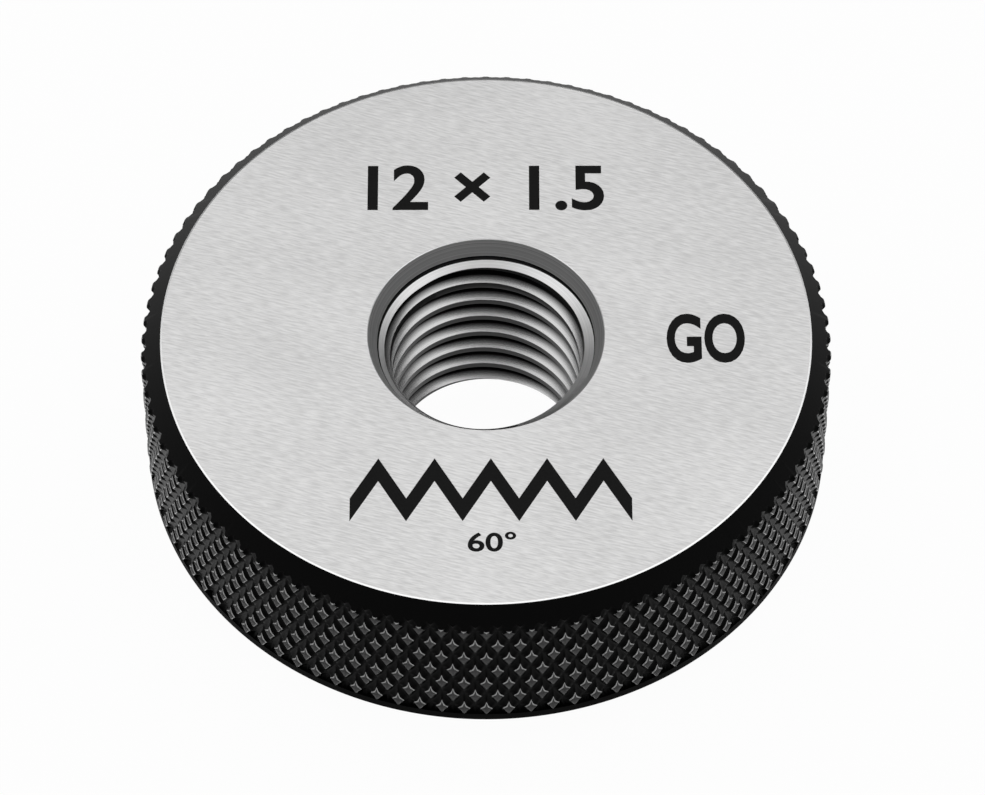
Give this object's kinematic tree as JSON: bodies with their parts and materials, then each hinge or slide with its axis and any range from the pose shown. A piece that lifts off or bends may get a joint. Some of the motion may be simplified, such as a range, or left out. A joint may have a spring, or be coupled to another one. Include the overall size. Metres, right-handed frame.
{
  "type": "thread ring gauge",
  "caption": "Solid thread ring gauge: a round hardened steel ring with a knurled rim, flat lapped ends and a countersunk threaded bore, for checking external threads.",
  "frame": {"origin": "centre of the bore at the lower end face, which the ring stands on", "axes": "+Z along the thread axis, out of the marked end face; -Y is the side that the marking is read from"},
  "size_m": [0.038, 0.038, 0.012],
  "materials": {
    "ground_steel": "bright ground and lapped end faces and bore; the rim and its chamfers are blackened",
    "etched_mark": "matt black laser-etched marking, as deep as a film"
  },
  "bodies": {
    "root": {"ring_gauge": "ground_steel"}
  },
  "joints": []
}
